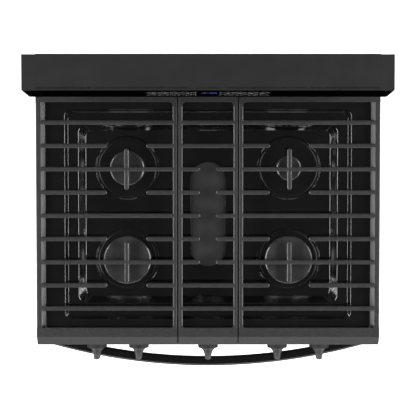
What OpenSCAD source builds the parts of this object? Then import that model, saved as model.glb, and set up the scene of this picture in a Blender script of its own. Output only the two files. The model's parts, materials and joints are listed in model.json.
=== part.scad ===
// Freestanding 30 inch gas range: cabinet, oven door, storage drawer, five sealed burners
// under three cast grates, five push-to-turn knobs and a rear control console.
// Frame: millimetres, +Z up, front faces -Y, origin at the middle of the footprint on the floor.

/* [Overall] */
// Width over the cooktop
width = 761; // [757:1:765]
// Depth from the back of the console to the front of the handle
depth = 707; // [702:1:712]
// Height from the floor to the top of the console
height = 1191; // [1150:1:1220]
// Height of the cooktop deck
deck_z = 915; // [910:1:920]
// Height of the grate tops
grate_z = 935; // [933:1:940]

/* [Cooktop] */
// Front edge of the cooktop
cooktop_front = -282.5; // [-285:0.5:-280]
// Rear edge of the cooktop deck
cooktop_rear = 300; // [298:1:302]
// Depth of the outer step of the well
step_drop = 10; // [8:1:12]
// Depth of the well below the deck
well_drop = 28; // [26:1:29]
// Distance of the side burners from the middle
burner_x = 180; // [176:1:184]
// Place of the rear burners
burner_rear_y = 112; // [108:1:116]
// Place of the front burners
burner_front_y = -93; // [-97:1:-89]
// Place of the centre burner
burner_centre_y = 10; // [6:1:14]
// Radius of the front burner caps
cap_front_r = 53; // [50:0.5:56]
// Radius of the left rear cap
cap_left_rear_r = 38.5; // [36:0.5:41]
// Radius of the right rear cap
cap_right_rear_r = 27.5; // [26:0.5:30]
// End radius of the oval centre cap
cap_oval_r = 39; // [37:0.5:40]
// Length of the oval centre cap
cap_oval_length = 233; // [225:1:240]

/* [Grates] */
// Distance between crossbars
bar_pitch = 51.55; // [50:0.05:53]
// Place of the rearmost crossbar
bar_first_y = 213.6; // [210:0.1:216]
// Width of a crossbar
bar_w = 9.6; // [8:0.1:11]
// Depth of a crossbar
bar_h = 14; // [12:1:14]
// Place of the gaps between the grates, from the middle
grate_split = 67; // [66:0.5:68]
// Gap between two grates
grate_gap = 2.5; // [2:0.1:3]

/* [Knobs] */
// Height of the knob axes
knob_z = 845; // [842:1:848]
// Inner pair of knobs, from the middle
knob_inner_x = 157.4; // [150:0.1:160]
// Outer pair of knobs, from the middle
knob_outer_x = 252.8; // [245:0.1:260]
// Travel of a knob when it is pushed in
knob_push = 3; // [2:0.5:3]

/* [Door] */
// Bottom edge of the oven door
door_bottom = 244; // [243:0.5:246]
// Top edge of the oven door
door_top = 786; // [784:1:788]
// Front face of the oven door
door_front = -298; // [-298.5:0.1:-297.5]
// Height of the handle's middle
handle_z = 752; // [742:1:760]
// Radius of the handle's bow
handle_bow_r = 1340; // [1300:10:1400]

/* [Oven] */
// Half width of the oven cavity
cavity_half_w = 305; // [300:1:306]
// Floor of the oven cavity
cavity_low = 285; // [283:1:288]
// Roof of the oven cavity
cavity_high = 745; // [740:1:748]
// Back wall of the oven cavity
cavity_back = 232; // [225:1:235]
// Height of the lower rack
rack_low_z = 450; // [440:1:455]
// Distance between two rack levels
rack_pitch = 70; // [68:1:72]

/* [Drawer] */
// Bottom edge of the drawer front
drawer_bottom = 78; // [76:1:80]
// Top edge of the drawer front
drawer_top = 234; // [230:1:234]
// Back of the drawer
drawer_back = 220; // [200:1:225]

/* [Hidden] */
$fn = 64;

half_w = width / 2;
y_back = depth / 2;
y_handle = -depth / 2;
sheet = 1.2;                    // steel sheet
gap = 0.2;                      // clearance between fixed pieces
far = 1000;                     // length of a cut that goes right through

// cabinet
panel_x = 378;                  // outer face of a side panel
frame_y = -250;                 // front face of the front frame
frame_t = 12;
rear_y = 349;                   // inner face of the rear panel
cabinet_low = 28;
cabinet_top = 888;
stile_x = 355;                  // the drawer mouth's half width
rear_screw_z = [80, 330, 600, 860];
rear_screw_r = 2;
gas_x = 362;                    // supply pipe beside the oven
gas_z = 115;
cord_x = -300;
cord_z = 115;

// oven
liner_t = 1.5;
insulation_x = 338;
insulation_low = 262;
insulation_high = 778;
insulation_back = 262;
guide_rod_r = 2.5;
guide_x = 291;                  // runner rods that carry the racks
guide_levels = [-1, 0, 1, 2, 3];
rack_rod_r = 3;
rack_wire_r = 1.6;
rack_low_y = -205;
rack_back_y = 195;
rack_half_w = 294;
lamp_x = -235;
lamp_z = 690;

// door hinge
hinge_y = -278;
hinge_z = door_bottom + 18;
hinge_x = 342;
hinge_pin_r = 3;
hinge_play = 0.05;
arm_half_t = 2;
door_half_w = 377;
door_tray_y = -273;             // rear edge of the door's outer skin
door_inner_y = -258;            // face of the door's inner liner
window_half_w = 240;
window_low = 450;
window_high = 660;
glass_t = 4;
handle_half_w = 359;
handle_deep = 20.6;
handle_high = 24;

// cooktop
pan_t = 1.5;
shelf_z = deck_z - step_drop;
well_z = deck_z - well_drop;
step_top = [318, -225.6, 242];          // half width, front and rear of each outline
step_foot = [311.5, -217.7, 236.7];
well_top = [288.5, -190.8, 209];
well_foot = [273, -174.4, 195.7];
step_corner = 15;
well_corner = 18;
apron_low = 890;
apron_r = 7;
bead_r = 68;                    // raised ring around each round burner
head_h = 18;
cap_low = well_z + head_h + gap;
cap_h = 6.8;
boss_r = 16;                    // burner foot under the pan
inlet_r = 4;                    // gas tube
tube_z = knob_z + 25;

// knobs and panel
control_y = -284;               // face of the knob panel
control_low = 792;
control_top = 888;
bezel_front = -298;
bezel_r = 22.5;
hub_r = 16.8;
stem_r = 4;
stem_play = 0.05;
manifold_y = -215;
manifold_r = 10;
valve_y = [-262, -226];

// console
console_top = height;
console_face_top = 279.2;
console_lip_y = 268;
console_lip_z = height - 144;
riser_y = cooktop_rear;
riser_low = deck_z + 1;
end_cap_x = 352;
console_glass_t = 3;

// place of each burner: x, y, cap radius
left_front = [-burner_x, burner_front_y, cap_front_r];
left_rear = [-burner_x, burner_rear_y, cap_left_rear_r];
right_rear = [burner_x, burner_rear_y, cap_right_rear_r];
right_front = [burner_x, burner_front_y, cap_front_r];
centre = [0, burner_centre_y, cap_oval_r];
round_burners = [left_front, left_rear, right_rear, right_front];
oval_half = cap_oval_length / 2 - cap_oval_r;

knob_xs = [-knob_outer_x, -knob_inner_x, 0, knob_inner_x, knob_outer_x];
tube_burners = [left_front, left_rear, centre, right_rear, right_front];

// ---------- helpers ----------
// a box from its low corner to its high corner
module block(low, high) translate(low) cube(high - low);

module both_sides() { children(); mirror([1, 0, 0]) children(); }

// a round bar between two points
module bar(a, b, r) {
  d = b - a;
  flat = norm([d[0], d[1]]);
  translate(a) rotate([0, atan2(flat, d[2]), atan2(d[1], d[0])]) cylinder(h = norm(d), r = r);
}

// round bars through a list of points, with ball corners
module run(points, r) {
  for (i = [0 : len(points) - 2]) bar(points[i], points[i + 1], r);
  for (i = [1 : 1 : len(points) - 2]) translate(points[i]) sphere(r);
}

// a bar along Y
module bar_y(x, z, y0, y1, r) translate([x, y0, z]) rotate([-90, 0, 0]) cylinder(h = y1 - y0, r = r);

// a profile in Y and Z, extruded along X
module extrude_x(x0, x1) translate([x0, 0, 0]) rotate([90, 0, 90]) linear_extrude(x1 - x0) children();

// a profile in X and Z, extruded along Y
module extrude_y(y0, y1) translate([0, y1, 0]) rotate([90, 0, 0]) linear_extrude(y1 - y0) children();

// a flat outline with round corners: half width, front and rear
module outline(o, r) {
  square_low = [-o[0] + r, o[1] + r];
  square_high = [o[0] - r, o[2] - r];
  hull() for (x = [square_low[0], square_high[0]], y = [square_low[1], square_high[1]])
    translate([x, y]) circle(r, $fn = 32);
}

// a tapered tub between two outlines
module tub(top, foot, z_top, z_foot, r, grow = 0) {
  wide = [grow, -grow, grow];
  hull() {
    translate([0, 0, z_top]) linear_extrude(0.01) outline(top + wide, r + grow);
    translate([0, 0, z_foot]) linear_extrude(0.01) outline(foot + wide, r + grow);
  }
}

// ---------- cabinet ----------
module side_panel() color([0.10, 0.10, 0.105]) difference() {
  union() {
    block([panel_x - sheet, frame_y, cabinet_low], [panel_x, rear_y - gap, cabinet_top]);
    block([panel_x - 20, rear_y - gap - sheet, cabinet_low], [panel_x - sheet, rear_y - gap, cabinet_top]);
  }
  rear_screw_cuts();
}

module side_panel_right() side_panel();
module side_panel_left() mirror([1, 0, 0]) side_panel();

module rear_screw_cuts() for (z = rear_screw_z)
  bar_y(panel_x - 10, z, rear_y - 10, rear_y + 10, rear_screw_r + 0.1);

module rear_panel() color([0.62, 0.63, 0.64]) difference() {
  block([-panel_x + 1, rear_y, 60], [panel_x - 1, rear_y + sheet, deck_z - 11]);
  both_sides() rear_screw_cuts();
  bar_y(cord_x, cord_z, rear_y - 5, rear_y + 5, 10);
  bar_y(gas_x - 22, gas_z, rear_y - 5, rear_y + 5, 25);
}

// box section that is open at both ends along Y
module tube_y(low, high, t) difference() {
  block(low, high);
  block([low[0] + t, low[1] - 1, low[2] + t], [high[0] - t, high[1] + 1, high[2] - t]);
}

leg_y = [-200, 300];
leg_x = 350;
module base_frame() color([0.45, 0.45, 0.46]) difference() {
  union() {
    both_sides() tube_y([leg_x - 15, frame_y + frame_t + gap, 30], [leg_x + 15, rear_y - 5, 58], 2);
    for (y = leg_y)
      block([-leg_x + 15 + gap, y - 15, 30], [leg_x - 15 - gap, y - 13, 58]);
    for (y = leg_y)
      block([-leg_x + 15 + gap, y - 12.8, 30], [leg_x - 15 - gap, y + 13, 32]);
  }
  both_sides() for (y = leg_y) translate([leg_x, y, 20]) cylinder(h = 50, r = 5.1);
}

module levelling_legs() color([0.2, 0.2, 0.2]) both_sides() for (y = leg_y) translate([leg_x, y, 0]) {
  cylinder(h = 9, r1 = 18, r2 = 14);
  translate([0, 0, 9]) cylinder(h = 8, r = 9, $fn = 6);
  translate([0, 0, 17]) cylinder(h = 50, r = 5);
}

module front_frame() color([0.12, 0.12, 0.125]) difference() {
  block([-panel_x + sheet + gap, frame_y, cabinet_low], [panel_x - sheet - gap, frame_y + frame_t, cabinet_top]);
  block([-cavity_half_w, frame_y - 5, cavity_low], [cavity_half_w, frame_y + frame_t + 5, cavity_high]);
  block([-stile_x, frame_y - 5, 64], [stile_x, frame_y + frame_t + 5, 240]);
  block([-330, frame_y - 5, 800], [330, frame_y + frame_t + 5, 880]);
  both_sides() block([hinge_x - 4, frame_y - 5, hinge_z - 11], [hinge_x + 4, frame_y + frame_t + 5, hinge_z + 9]);
}

module hinge_arms() color([0.66, 0.67, 0.68]) both_sides() difference() {
  union() {
    block([hinge_x - arm_half_t, hinge_y, hinge_z - 6], [hinge_x + arm_half_t, frame_y + 40, hinge_z + 6]);
    translate([hinge_x - arm_half_t, hinge_y, hinge_z]) rotate([0, 90, 0]) cylinder(h = 2 * arm_half_t, r = 6);
    block([hinge_x - 10, frame_y + frame_t + gap, hinge_z - 6], [hinge_x - arm_half_t, frame_y + 40, hinge_z + 6]);
  }
  translate([hinge_x - 10, hinge_y, hinge_z]) rotate([0, 90, 0]) cylinder(h = 20, r = hinge_pin_r + hinge_play);
}

rail_back = 270;
module drawer_rails() color([0.6, 0.6, 0.62]) both_sides()
  difference() {
    block([340.6, frame_y + frame_t + gap, 113], [353, rail_back, 149]);
    block([339, frame_y, 119], [350.5, rail_back + 1, 143]);
  }

module cabinet_screws() color([0.7, 0.7, 0.72]) both_sides() for (z = rear_screw_z) {
  bar_y(panel_x - 10, z, rear_y - 5, rear_y + sheet, rear_screw_r);
  bar_y(panel_x - 10, z, rear_y + sheet, rear_y + sheet + 2.2, 4.2);
}

// ---------- oven ----------
module oven_liner() color([0.10, 0.11, 0.13]) difference() {
  block([-cavity_half_w - liner_t, frame_y + frame_t + gap, cavity_low - liner_t],
        [cavity_half_w + liner_t, cavity_back + liner_t, cavity_high + liner_t]);
  block([-cavity_half_w, frame_y, cavity_low], [cavity_half_w, cavity_back, cavity_high]);
  bar_y(lamp_x, lamp_z, cavity_back - 5, cavity_back + 5, 20);
  translate([0, cavity_back - 40, cavity_high - 5]) cylinder(h = 10, r = 30);
  bar_y(0, cavity_low + 24, cavity_back - 5, cavity_back + 5, 13.5);
}

module oven_insulation() color([0.86, 0.80, 0.55]) difference() {
  block([-insulation_x, frame_y + frame_t + gap, insulation_low],
        [insulation_x, insulation_back, insulation_high]);
  block([-cavity_half_w - liner_t - gap, frame_y, cavity_low - liner_t - gap],
        [cavity_half_w + liner_t + gap, cavity_back + liner_t + gap, cavity_high + liner_t + gap]);
  both_sides() block([hinge_x - 12, frame_y, hinge_z - 10], [insulation_x + 1, frame_y + 45, hinge_z + 10]);
  bar_y(lamp_x, lamp_z, cavity_back - 5, far, 25);
  translate([0, cavity_back - 40, cavity_high - 5]) cylinder(h = far, r = 34);
  bar_y(0, cavity_low + 24, cavity_back - 5, far, 16);
}

module rack_guides() color([0.75, 0.75, 0.77]) both_sides() {
  wall = cavity_half_w - guide_rod_r - gap;
  for (y = [-190, 0, 190])
    translate([wall, y, rack_low_z - rack_pitch - 25]) cylinder(h = 4 * rack_pitch + 50, r = guide_rod_r);
  for (level = guide_levels) {
    z = rack_low_z + level * rack_pitch - rack_rod_r - guide_rod_r - 0.3;
    bar_y(guide_x, z, -200, 200, guide_rod_r);
    for (y = [-190, 0, 190]) bar([guide_x, y, z], [wall, y, z], guide_rod_r * 0.9);
  }
}

module oven_floor() color([0.10, 0.11, 0.13]) difference() {
  union() {
    block([-cavity_half_w + 4, frame_y + frame_t + 12, cavity_low + 48], [cavity_half_w - 4, cavity_back - 4, cavity_low + 49.5]);
    both_sides() block([cavity_half_w - 5.5, frame_y + frame_t + 12, cavity_low + gap],
                       [cavity_half_w - 4, cavity_back - 4, cavity_low + 49]);
  }
  both_sides() for (y = [-190 : 38 : 190])
    block([cavity_half_w - 45, y - 12, cavity_low + 40], [cavity_half_w - 35, y + 12, cavity_low + 60]);
}

module bake_burner() color([0.55, 0.52, 0.48]) difference() {
  union() {
    bar_y(0, cavity_low + 24, -190, cavity_back + 30, 13);
    block([-45, -150, cavity_low + 22], [45, 150, cavity_low + 26]);
  }
  bar_y(0, cavity_low + 24, -186, cavity_back + 40, 11.8);
}

module broil_burner() color([0.55, 0.52, 0.48]) {
  difference() {
    block([-120, -150, cavity_high - 28], [120, 140, cavity_high - 6]);
    block([-112, -142, cavity_high - 30], [112, 132, cavity_high - 10]);
  }
  bar_y(0, cavity_high - 17, 140, cavity_back - 0.3, 9);
}

module oven_lamp() color([0.93, 0.90, 0.80]) {
  bar_y(lamp_x, lamp_z, cavity_back - 12, cavity_back + 24, 19.6);
  translate([lamp_x, cavity_back - 12, lamp_z]) sphere(19.6);
  bar_y(lamp_x, lamp_z, cavity_back + 2, cavity_back + 10, 24);
}

module ring_outline(x, z0, z1, r) hull() for (sx = [-1, 1], z = [z0 + r, z1 - r])
  translate([sx * (x - r), z]) circle(r, $fn = 32);

module door_gasket() color([0.25, 0.25, 0.24]) extrude_y(frame_y - 6, frame_y) difference() {
  ring_outline(331, 276, 772, 22);
  ring_outline(322, 285, 763, 14);
}

// ---------- gas line ----------
module gas_manifold() color([0.72, 0.72, 0.70]) difference() {
  union() {
    translate([-290, manifold_y, knob_z]) rotate([0, 90, 0]) cylinder(h = 290 + gas_x, r = manifold_r);
    run([[gas_x, manifold_y, knob_z], [gas_x, manifold_y, gas_z], [gas_x, 285, gas_z]], 6);
    translate([gas_x, manifold_y, knob_z]) sphere(manifold_r);
  }
  for (x = knob_xs) bar_y(x, knob_z, manifold_y - 12, manifold_y - 4, 5);
}

module gas_regulator() color([0.70, 0.66, 0.55]) difference() {
  union() {
    block([gas_x - 38, 285, gas_z - 22], [gas_x + 10, 318, gas_z + 18]);
    translate([gas_x - 22, 302, gas_z + 18]) cylinder(h = 14, r = 15);
    bar_y(gas_x - 22, gas_z, 318, y_back - 3.5, 10.5);
  }
  bar_y(gas_x - 22, gas_z, 306, far, 7.5);
}

module cord_inlet() color([0.06, 0.06, 0.06]) difference() {
  union() {
    bar_y(cord_x, cord_z, rear_y - 8, rear_y + sheet, 9.9);
    bar_y(cord_x, cord_z, rear_y + sheet, rear_y + sheet + 2.2, 13);
  }
  bar_y(cord_x, cord_z, rear_y - 20, far, 4.5);
}

module gas_valves() color([0.80, 0.68, 0.36]) for (i = [0 : 4]) difference() {
  union() {
    block([knob_xs[i] - 13, valve_y[0], knob_z - 15], [knob_xs[i] + 13, valve_y[1], knob_z + 15]);
    bar_y(knob_xs[i], knob_z, valve_y[1], manifold_y - 5, 4.9);
    translate([knob_xs[i], valve_y[1] - 10, knob_z + 15]) cylinder(h = 4, r = 7, $fn = 6);
  }
  bar_y(knob_xs[i], knob_z, -far, valve_y[0] + 22, stem_r + stem_play);
}

// each tube rises from its valve, runs back, then sideways, and turns up into its burner
module burner_tubes() color([0.75, 0.76, 0.78]) for (i = [0 : 4]) {
  x = knob_xs[i];
  to = tube_burners[i];
  start_y = valve_y[1] - 10;
  translate([x, start_y, knob_z + 19]) cylinder(h = tube_z - knob_z - 19, r = inlet_r);
  bar_y(x, tube_z, start_y, to[1], inlet_r);
  if (to[0] != x) translate([min(x, to[0]), to[1], tube_z]) rotate([0, 90, 0])
    cylinder(h = abs(x - to[0]), r = inlet_r);
  translate([to[0], to[1], tube_z]) cylinder(h = well_z - 9 - tube_z, r = inlet_r);
  for (corner = [[x, start_y], [x, to[1]], [to[0], to[1]]])
    translate([corner[0], corner[1], tube_z]) sphere(inlet_r + 0.6);
}

// ---------- cooktop ----------
module centre_oval(r, h) {
  for (s = [-1, 1]) translate([0, s * oval_half, 0]) cylinder(h = h, r = r);
  translate([-r, -oval_half, 0]) cube([2 * r, 2 * oval_half, h]);
}

module bead() rotate_extrude() translate([bead_r, 0])
  polygon([[-3, 0], [-2, 1.1], [2, 1.1], [3, 0]]);

module cooktop_pan() color([0.035, 0.035, 0.04]) difference() {
  union() {
    translate([0, 0, deck_z - pan_t]) linear_extrude(pan_t) square_deck();
    difference() {
      block([-half_w, cooktop_front, apron_low], [half_w, cooktop_rear, deck_z - pan_t / 2]);
      block([-half_w + pan_t, cooktop_front + pan_t, apron_low - 1],
            [half_w - pan_t, cooktop_rear - pan_t, deck_z]);
    }
    tub(step_top, step_foot, deck_z - 0.02, shelf_z - pan_t, step_corner, pan_t);
    tub(well_top, well_foot, shelf_z - 0.02, well_z - pan_t, well_corner, pan_t);
    for (b = round_burners) translate([b[0], b[1], well_z - 0.02]) bead();
  }
  tub(step_top, step_foot, deck_z + 0.02, shelf_z, step_corner);
  difference() {
    tub(well_top, well_foot, shelf_z + 0.02, well_z, well_corner);
    for (b = round_burners) translate([b[0], b[1], well_z - 0.02]) bead();
  }
  for (b = tube_burners) translate([b[0], b[1], well_z - 10]) cylinder(h = 12, r = boss_r + 0.2);
  apron_round();
}

module square_deck() translate([-half_w, cooktop_front]) square([width, cooktop_rear - cooktop_front]);

// rolled front edge of the cooktop
module apron_round() extrude_x(-half_w - 1, half_w + 1) difference() {
  translate([cooktop_front - 1, deck_z - apron_r]) square([apron_r + 1, apron_r + 1]);
  translate([cooktop_front + apron_r, deck_z - apron_r]) circle(apron_r);
}

module head_ports(r, count) for (i = [0 : count - 1]) rotate([0, 0, (i + 0.5) * 360 / count])
  translate([r - 5, -0.9, head_h - 8]) cube([8, 1.8, 5]);

module round_head(b) translate([b[0], b[1], well_z]) {
  r = b[2] - 3;
  difference() {
    union() {
      cylinder(h = head_h - 11, r1 = r + 3, r2 = r + 1);
      translate([0, 0, head_h - 11]) cylinder(h = 11, r = r);
      translate([0, 0, -9]) cylinder(h = 10, r = boss_r);
    }
    translate([0, 0, head_h - 9]) cylinder(h = 10, r = r - 7);
    translate([0, 0, -10]) cylinder(h = 30, r = inlet_r + 0.1);
    head_ports(r, 24);
    translate([0, r - 1, 0]) cylinder(h = 20, r = 3.2);
  }
}

module oval_head() translate([0, burner_centre_y, well_z]) {
  r = cap_oval_r - 3;
  difference() {
    union() {
      centre_oval(r + 1, head_h - 11);
      translate([0, 0, head_h - 11]) centre_oval(r, 11);
      translate([0, 0, -9]) cylinder(h = 10, r = boss_r);
    }
    translate([0, 0, head_h - 9]) centre_oval(r - 7, 10);
    translate([0, 0, -10]) cylinder(h = 30, r = inlet_r + 0.1);
    for (s = [-1, 1], y = [-oval_half : 9 : oval_half])
      translate([s * (r - 3) - 3, y - 0.9, head_h - 8]) cube([6, 1.8, 5]);
    translate([0, oval_half + r - 1, 0]) cylinder(h = 20, r = 3.2);
  }
}

module burner_heads() color([0.70, 0.70, 0.70]) {
  for (b = round_burners) round_head(b);
  oval_head();
}

module igniter_at(x, y) translate([x, y, well_z + gap]) {
  cylinder(h = 11, r = 2.6);
  translate([0, 0, 11]) cylinder(h = 4, r = 0.9);
}

module burner_igniters() color([0.95, 0.94, 0.90]) {
  for (b = round_burners) igniter_at(b[0], b[1] + b[2] - 4);
  igniter_at(0, burner_centre_y + oval_half + cap_oval_r - 4);
}

module cap_left_front() cap_at(left_front);
module cap_left_rear() cap_at(left_rear);
module cap_right_rear() cap_at(right_rear);
module cap_right_front() cap_at(right_front);

// disc cap with a locating rim underneath
module cap_at(b) color([0.19, 0.19, 0.19]) translate([b[0], b[1], cap_low]) {
  r = b[2];
  rotate_extrude() polygon([[0, 0], [r - 1, 0], [r, 1], [r, cap_h - 2.4], [r - 0.8, cap_h - 0.8],
                            [r - 2.6, cap_h], [0, cap_h]]);
  translate([0, 0, -4]) difference() {
    cylinder(h = 4.1, r = r - 11);
    translate([0, 0, -1]) cylinder(h = 5, r = r - 13.5);
  }
}

module cap_centre() color([0.19, 0.19, 0.19]) translate([0, burner_centre_y, cap_low]) {
  centre_oval(cap_oval_r, cap_h - 1.6);
  translate([0, 0, cap_h - 1.7]) centre_oval(cap_oval_r - 1.5, 1.7);
  translate([0, 0, -4]) difference() {
    centre_oval(cap_oval_r - 11, 4.1);
    translate([0, 0, -1]) centre_oval(cap_oval_r - 13.5, 5);
  }
}

// ---------- grates ----------
grate_rear = [258.3, 271.5];
grate_front_top = -262;
grate_front_back = -242;
grate_front_foot = -281.5;
grate_under = deck_z + 2;
rail_w = 9.3;
side_top_in = 369;
side_in = 360;
side_out = half_w - 0.3;
corner_r = 9;                   // fillets where the rails meet
edge_cut = 1.8;                 // chamfer along the top edges of rails and bars
finger_half = 41;
gap_half = 48.3;
tip_half = 18;
bar_low = grate_z - bar_h;
function bar_y_at(k) = bar_first_y - (k - 1) * bar_pitch;

// section of a rail or bar from a to b, its two top edges chamfered
module bar_section(a, b) polygon([
  [a, bar_low], [b, bar_low], [b, grate_z - edge_cut], [b - edge_cut, grate_z],
  [a + edge_cut, grate_z], [a, grate_z - edge_cut]]);

module crossbar(k, x0, x1) extrude_x(x0, x1) bar_section(bar_y_at(k) - bar_w / 2, bar_y_at(k) + bar_w / 2);

// the rounded end of a bar that stops short
module round_tip(x, y) translate([x, y, bar_low]) rotate_extrude()
  polygon([[0, 0], [bar_w / 2, 0], [bar_w / 2, bar_h - edge_cut], [bar_w / 2 - edge_cut, bar_h], [0, bar_h]]);

module bar_tip(k, x) round_tip(x, bar_y_at(k));

module front_rail(x0, x1) extrude_x(x0, x1) polygon([
  [grate_front_back, bar_low], [grate_front_back, grate_z], [grate_front_top, grate_z],
  [grate_front_foot, grate_under + 1], [grate_front_foot, grate_under], [grate_front_foot + 5, grate_under],
  [grate_front_top + 2, bar_low]]);

module rear_rail(x0, x1) block([x0, grate_rear[0], grate_under], [x1, grate_rear[1], grate_z]);

module long_rail(x0, x1) extrude_y(grate_front_back - 1, grate_rear[0] + 1) bar_section(x0, x1);

module foot(x, y) translate([x, y, deck_z]) cylinder(h = grate_z - deck_z - 4, r = 4);

module outer_rail() translate([0, grate_rear[1], 0]) rotate([90, 0, 0])
  linear_extrude(grate_rear[1] - grate_front_back)
  polygon([[side_out, grate_under], [side_out, grate_z - 2], [side_out - 2, grate_z], [side_top_in, grate_z],
           [side_in, grate_z - 10], [side_in, grate_z - 13], [side_top_in, grate_under]]);

// fills the inside corner at x, y with a concave fillet; sx and sy point into the opening
module fillet(x, y, sx, sy, r, lap = 1) translate([x, y, bar_low]) difference() {
  translate([min(0, sx * r) - (sx > 0 ? lap : 0), min(0, sy * r) - (sy > 0 ? lap : 0), 0])
    cube([r + lap, r + lap, bar_h]);
  translate([sx * r, sy * r, -1]) cylinder(h = bar_h + 2, r = r);
}

module side_grate() {
  inner = grate_split + grate_gap / 2;
  front_rail(inner, side_out);
  rear_rail(inner, side_out);
  outer_rail();
  long_rail(inner, inner + rail_w);
  for (k = [1 : 2 : 9]) crossbar(k, inner + 3, side_top_in);
  for (k = [2 : 2 : 8]) {
    crossbar(k, inner + 3, burner_x - gap_half);
    bar_tip(k, burner_x - gap_half);
    crossbar(k, burner_x + gap_half, side_top_in);
    bar_tip(k, burner_x + gap_half);
  }
  for (k = [3, 7]) {
    extrude_y(bar_y_at(k) - finger_half, bar_y_at(k) + finger_half)
      bar_section(burner_x - bar_w / 2, burner_x + bar_w / 2);
    for (s = [-1, 1]) round_tip(burner_x, bar_y_at(k) + s * finger_half);
  }
  fillet(inner + rail_w, grate_rear[0], 1, -1, corner_r, 2.5);
  fillet(inner + rail_w, grate_front_back, 1, 1, corner_r * 0.6, 2.5);
  fillet(side_in, grate_front_back, -1, 1, corner_r * 0.6);
  for (x = [inner + 6, side_top_in], y = [grate_rear[0] + 5, 0, grate_front_back - 8]) foot(x, y);
}

module grate_right() color([0.24, 0.24, 0.25]) side_grate();
module grate_left() color([0.24, 0.24, 0.25]) mirror([1, 0, 0]) side_grate();

module grate_centre() color([0.24, 0.24, 0.25]) {
  edge = grate_split - grate_gap / 2;
  front_rail(-edge, edge);
  rear_rail(-edge, edge);
  both_sides() long_rail(edge - rail_w, edge);
  for (k = [1, 2, 8, 9]) crossbar(k, -edge + 3, edge - 3);
  both_sides() for (k = [3 : 7]) { crossbar(k, tip_half + bar_w / 2, edge - 3); bar_tip(k, tip_half + bar_w / 2); }
  both_sides() {
    fillet(edge - rail_w, grate_rear[0], -1, -1, corner_r, 2.5);
    fillet(edge - rail_w, grate_front_back, -1, 1, corner_r * 0.6, 2.5);
    for (y = [grate_rear[0] + 5, grate_front_back - 8]) foot(edge - 6, y);
  }
}

// ---------- knob panel ----------
module manifold_panel() color([0.12, 0.12, 0.125]) difference() {
  block([-panel_x, control_y, control_low], [panel_x, frame_y - gap, control_top]);
  block([-panel_x + sheet, control_y + sheet, control_low + sheet],
        [panel_x - sheet, frame_y + 5, control_top - sheet]);
  for (x = knob_xs) bar_y(x, knob_z, control_y - 5, control_y + 5, 9);
}

module knob_bezels() color([0.06, 0.06, 0.06]) for (x = knob_xs) difference() {
  translate([x, control_y, knob_z]) rotate([90, 0, 0]) {
    cylinder(h = control_y - bezel_front - 2, r = bezel_r);
    translate([0, 0, control_y - bezel_front - 2]) cylinder(h = 2, r1 = bezel_r, r2 = bezel_r - 2);
  }
  bar_y(x, knob_z, control_y - 50, control_y + 5, hub_r + 0.6);
}

// knob: hub in the bezel, concave waist and an upright blade grip
module knob_at(x) color([0.55, 0.55, 0.56]) translate([x, bezel_front, knob_z]) rotate([90, 0, 0]) difference() {
  union() {
    translate([0, 0, -8]) cylinder(h = 8, r = hub_r);
    rotate_extrude() polygon(concat([[0, 0], [hub_r, 0]],
      [for (a = [0 : 15 : 90]) [hub_r - 7.4 * sin(a), 7.5 - 7.5 * cos(a)]], [[0, 7.5]]));
    translate([0, 0, 7.4]) blade();
  }
  translate([0, 0, -9]) cylinder(h = 17, r = stem_r + stem_play);
}

module blade() {
  intersection() {
    translate([-9, -20, 0]) cube([18, 40, 18.6]);
    rotate([90, 0, 0]) translate([0, 0, -20]) linear_extrude(40)
      polygon([[-9, 0], [9, 0], [7.4, 6], [6.4, 18.6], [-6.4, 18.6], [-7.4, 6]]);
    rotate([0, 90, 0]) translate([0, 0, -10]) linear_extrude(20)
      polygon([[0, -hub_r], [0, hub_r], [-5, 20], [-16, 20], [-18.6, 17.5], [-18.6, -17.5], [-16, -20], [-5, -20]]);
  }
}

module stem_at(x) color([0.80, 0.68, 0.36]) bar_y(x, knob_z, bezel_front - 7.5, valve_y[0] + 22 - knob_push - 1, stem_r);

module knob_left_front() knob_at(knob_xs[0]);
module knob_left_rear() knob_at(knob_xs[1]);
module knob_centre() knob_at(knob_xs[2]);
module knob_right_rear() knob_at(knob_xs[3]);
module knob_right_front() knob_at(knob_xs[4]);
module stem_left_front() stem_at(knob_xs[0]);
module stem_left_rear() stem_at(knob_xs[1]);
module stem_centre() stem_at(knob_xs[2]);
module stem_right_rear() stem_at(knob_xs[3]);
module stem_right_front() stem_at(knob_xs[4]);

// ---------- console ----------
module console_outline(rear, t) {
  slope = (console_face_top - console_lip_y) / (console_top - console_lip_z);
  polygon([[rear - t, riser_low - 12 + t], [rear - t, console_top - t], [console_face_top + t, console_top - t],
           [console_lip_y + t + slope * t, console_lip_z + t], [riser_y + t, console_lip_z - 6 + t],
           [riser_y + t, riser_low - 12 + t]]);
}

module console_housing() color([0.20, 0.20, 0.205]) difference() {
  extrude_x(-end_cap_x + gap, end_cap_x - gap) difference() {
    console_outline(y_back, 0);
    console_outline(y_back, sheet);
    glass_slot();
  }
  for (x = [-300 : 30 : 300])
    block([x - 11, riser_y - 5, riser_low + 40], [x + 11, riser_y + 5, riser_low + 46]);
  block([-far, riser_y - 50, 0], [far, riser_y + 0.2, riser_low]);
}

// room for the glass in the console's face
module glass_slot() translate([-0.5, 0]) polygon(glass_points(0));

function glass_points(grow) =
  let (s = (console_face_top - console_lip_y) / (console_top - console_lip_z),
       z0 = console_lip_z + 2, z1 = console_top - 3)
  [[console_lip_y + s * (z0 - console_lip_z) - 0.05, z0 - grow],
   [console_lip_y + s * (z1 - console_lip_z) - 0.05, z1 + grow],
   [console_lip_y + s * (z1 - console_lip_z) + console_glass_t, z1 + grow],
   [console_lip_y + s * (z0 - console_lip_z) + console_glass_t, z0 - grow]];

module control_glass() color([0.01, 0.01, 0.012]) extrude_x(-end_cap_x + gap, end_cap_x - gap)
  polygon(glass_points(-0.1));

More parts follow.
